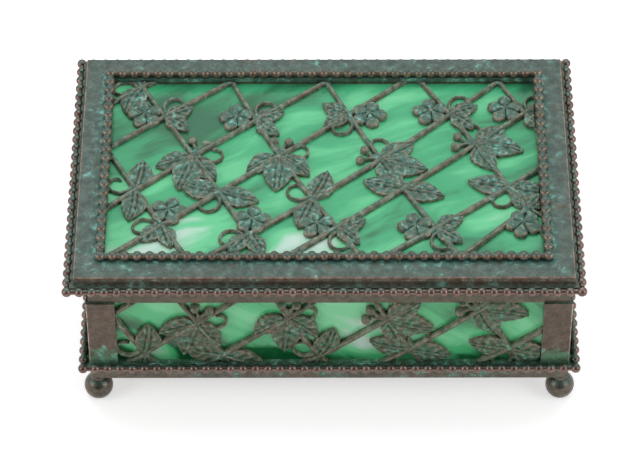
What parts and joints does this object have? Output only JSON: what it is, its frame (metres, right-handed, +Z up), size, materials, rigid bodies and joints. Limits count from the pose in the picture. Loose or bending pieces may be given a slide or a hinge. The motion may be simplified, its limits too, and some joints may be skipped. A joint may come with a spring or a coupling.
{
  "type": "glass casket box",
  "caption": "Low rectangular glass casket box with pierced metal walls and lid over marbled glass, beaded edges, ball feet and a rear-hinged lid.",
  "frame": {"origin": "on the standing plane, below the middle of the lid, which is the middle of the whole box", "axes": "+X to the right seen from the front, +Y to the back where the hinge is, +Z up"},
  "size_m": [0.1654, 0.107, 0.0623],
  "materials": {
    "lid_top": "grey-green patina with turquoise tints over dark bronze",
    "frame": "dark brown bronze with worn edges and verdigris in the corners",
    "openwork": "dark bronze, greener in the hollows and brown on the raised parts",
    "beading": "brown bronze, rubbed bright on the beads",
    "feet": "dark bronze, semi-gloss",
    "floor": "dark bronze, satin",
    "clips": "dull brass",
    "hinge": "dark bronze, satin",
    "lid_glass": "marbled opalescent green glass with pale streaks",
    "wall_glass": "marbled opalescent green glass with pale streaks"
  },
  "bodies": {
    "box_body": {"base_plate": "floor", "base_band_front": "frame", "base_band_right": "frame", "base_band_back": "frame", "base_band_left": "frame", "base_beading_front": "beading", "base_beading_right": "beading", "base_beading_back": "beading", "base_beading_left": "beading", "wall_front": "openwork", "wall_right": "openwork", "wall_back": "openwork", "wall_left": "openwork", "post_front_left": "frame", "post_front_right": "frame", "post_back_right": "frame", "post_back_left": "frame", "glass_front": "wall_glass", "glass_right": "wall_glass", "glass_back": "wall_glass", "glass_left": "wall_glass", "clips_front": "clips", "clips_right": "clips", "clips_back": "clips", "clips_left": "clips", "foot_front_left": "feet", "foot_front_right": "feet", "foot_back_right": "feet", "foot_back_left": "feet", "body_hinge_leaf": "hinge", "hinge_pin": "hinge"},
    "lid": {"lid_plate": "lid_top", "rim_front": "frame", "rim_right": "frame", "rim_back": "frame", "rim_left": "frame", "rim_beading_front": "beading", "rim_beading_right": "beading", "rim_beading_back": "beading", "rim_beading_left": "beading", "panel_beading_front": "beading", "panel_beading_right": "beading", "panel_beading_back": "beading", "panel_beading_left": "beading", "lid_openwork": "openwork", "lid_glass": "lid_glass", "lid_clips": "clips", "lid_hinge_leaf": "hinge"}
  },
  "joints": [
    {"name": "lid_hinge", "type": "hinge", "parent": "box_body", "child": "lid", "pos_m": [0.0016, 0.0498, 0.052], "axis": [-1, 0, 0], "range_deg": [0, 100]}
  ]
}
